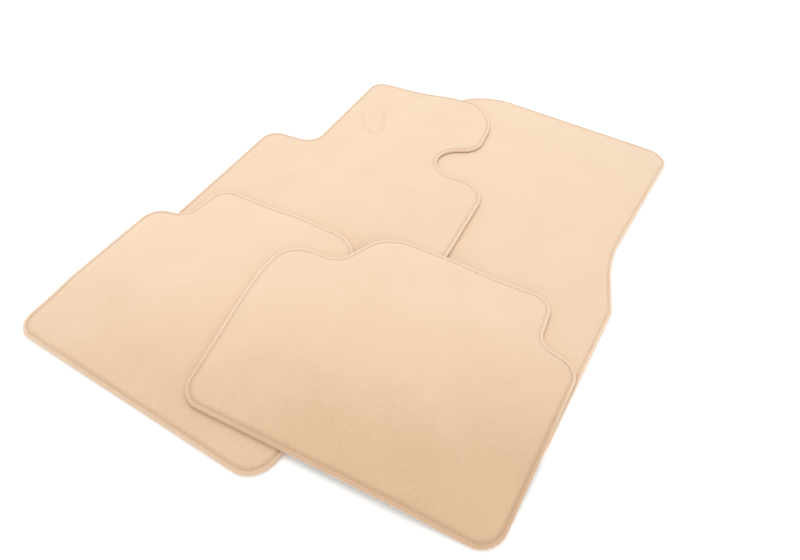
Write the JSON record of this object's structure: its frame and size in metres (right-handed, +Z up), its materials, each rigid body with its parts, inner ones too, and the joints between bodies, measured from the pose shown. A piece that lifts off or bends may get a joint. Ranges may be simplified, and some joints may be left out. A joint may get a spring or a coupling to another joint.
{
  "type": "car floor mat set",
  "caption": "Set of tufted velour car floor mats with sewn edge binding, front and rear, cut to the footwells of a left-hand-drive car and laid in a loose overlapping pile.",
  "frame": {"origin": "middle of the laid-out pile's footprint, on the floor", "axes": "+Z up; +Y from the rear mats towards the toe edges of the front mats, as the pile is laid; +X to the right"},
  "size_m": [1.0642, 1.0492, 0.0289],
  "materials": {
    "velour_pile": "cut velour pile, matt with a soft sheen",
    "binding_tape": "woven tape, folded and sewn",
    "seam_thread": "twisted thread",
    "heavy_layer": "filled rubber sheet, matt",
    "grip_backing": "moulded nibbed rubber, matt",
    "hook_pad": "hook tape"
  },
  "bodies": {
    "passenger_mat": {"passenger_pile_carpet": "velour_pile", "passenger_heavy_layer": "heavy_layer", "passenger_grip_backing": "grip_backing", "passenger_edge_binding": "binding_tape", "passenger_binding_thread": "seam_thread", "passenger_hook_pads": "hook_pad"},
    "driver_mat": {"driver_pile_carpet": "velour_pile", "driver_heavy_layer": "heavy_layer", "driver_grip_backing": "grip_backing", "driver_edge_binding": "binding_tape", "driver_binding_thread": "seam_thread", "driver_hook_pads": "hook_pad"},
    "rear_left_mat": {"rear_left_pile_carpet": "velour_pile", "rear_left_heavy_layer": "heavy_layer", "rear_left_grip_backing": "grip_backing", "rear_left_edge_binding": "binding_tape", "rear_left_binding_thread": "seam_thread", "rear_left_hook_pads": "hook_pad"},
    "rear_right_mat": {"rear_right_pile_carpet": "velour_pile", "rear_right_heavy_layer": "heavy_layer", "rear_right_grip_backing": "grip_backing", "rear_right_edge_binding": "binding_tape", "rear_right_binding_thread": "seam_thread", "rear_right_hook_pads": "hook_pad"}
  },
  "joints": [
    {"name": "driver_mat_lift", "type": "slide", "parent": "passenger_mat", "child": "driver_mat", "axis": [0, 0, 1], "range_m": [0, 0.15]},
    {"name": "rear_left_mat_lift", "type": "slide", "parent": "driver_mat", "child": "rear_left_mat", "axis": [0, 0, 1], "range_m": [0, 0.15]},
    {"name": "rear_right_mat_lift", "type": "slide", "parent": "rear_left_mat", "child": "rear_right_mat", "axis": [0, 0, 1], "range_m": [0, 0.15]}
  ]
}
